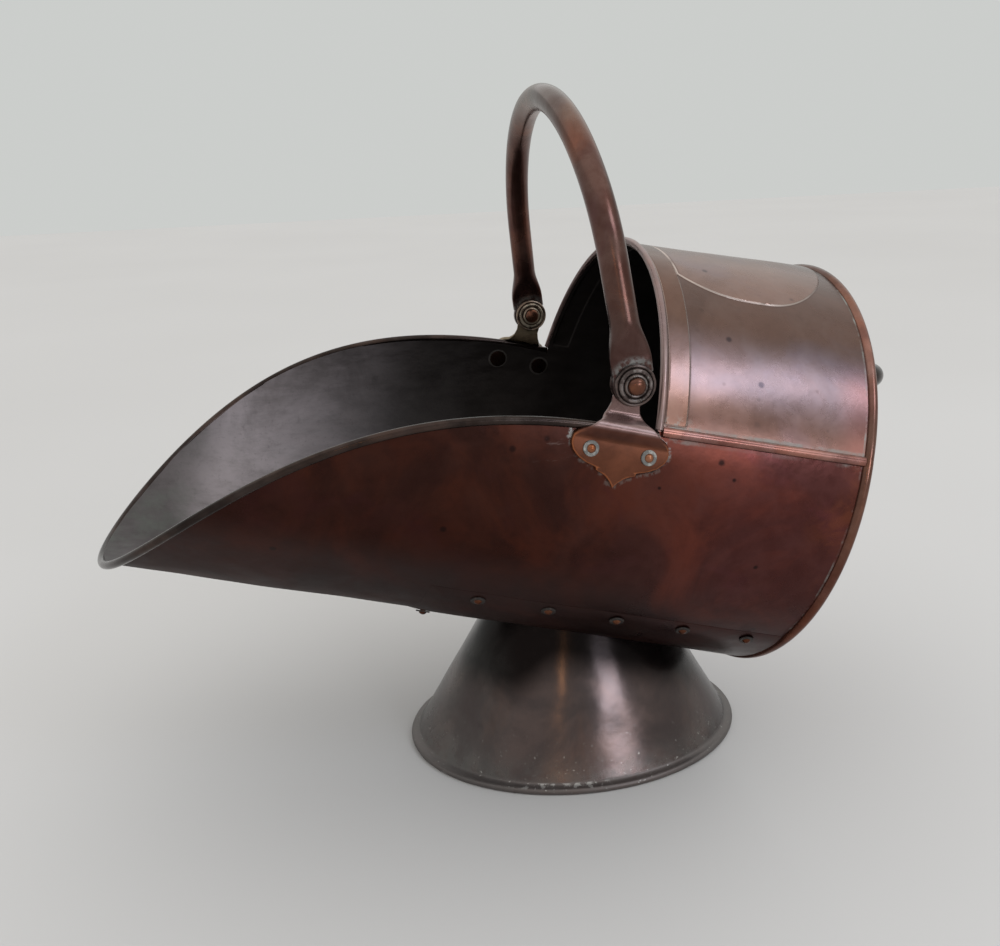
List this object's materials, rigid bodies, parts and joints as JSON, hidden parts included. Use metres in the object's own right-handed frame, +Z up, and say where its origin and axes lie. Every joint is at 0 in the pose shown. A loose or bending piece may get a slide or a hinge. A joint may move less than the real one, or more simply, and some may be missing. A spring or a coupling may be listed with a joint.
{
  "type": "coal scuttle",
  "caption": "Copper helmet coal scuttle: tilted barrel with a long pouring lip, riveted hood, oval foot, swinging bail handle and a fixed rear grip.",
  "frame": {"origin": "centre of the oval foot on the floor", "axes": "+Z up, -X towards the pouring lip, +X towards the back plate and rear grip, Y across along the bail's pivot axis"},
  "size_m": [0.54, 0.2904, 0.4664],
  "materials": {
    "dark_copper": "satin, aged dark copper, mottled",
    "hood_copper": "satin, aged brown copper",
    "bright_copper": "satin, worn bright copper",
    "handle_copper": "satin, handled brown copper",
    "aged_brass": "satin, tarnished brass",
    "iron_wire": "dull dark iron"
  },
  "bodies": {
    "scuttle": {"scoop_shell": "dark_copper", "rim_wire": "iron_wire", "hood_shell": "hood_copper", "hood_wire": "iron_wire", "back_plate": "hood_copper", "seam_strip_near": "bright_copper", "seam_strip_far": "bright_copper", "saddle_plate": "dark_copper", "saddle_rivets": "bright_copper", "saddle_burrs": "bright_copper", "foot_cone": "dark_copper", "foot_wire": "iron_wire", "lug_near": "bright_copper", "lug_far": "bright_copper", "lug_rivets": "bright_copper", "lug_burrs": "bright_copper", "inner_washer_near": "aged_brass", "inner_washer_far": "aged_brass", "outer_washer_near": "aged_brass", "outer_washer_far": "aged_brass", "pivot_pin_near": "handle_copper", "pivot_pin_far": "handle_copper", "rear_handle": "handle_copper", "rear_handle_feet": "bright_copper", "rear_handle_rivets": "bright_copper", "rear_handle_burrs": "bright_copper"},
    "bail": {"bail": "handle_copper"}
  },
  "joints": [
    {"name": "bail_swing", "type": "hinge", "parent": "scuttle", "child": "bail", "pos_m": [0.00414, 0, 0.29671], "axis": [0, 1, 0], "range_deg": [-91, 76]}
  ]
}
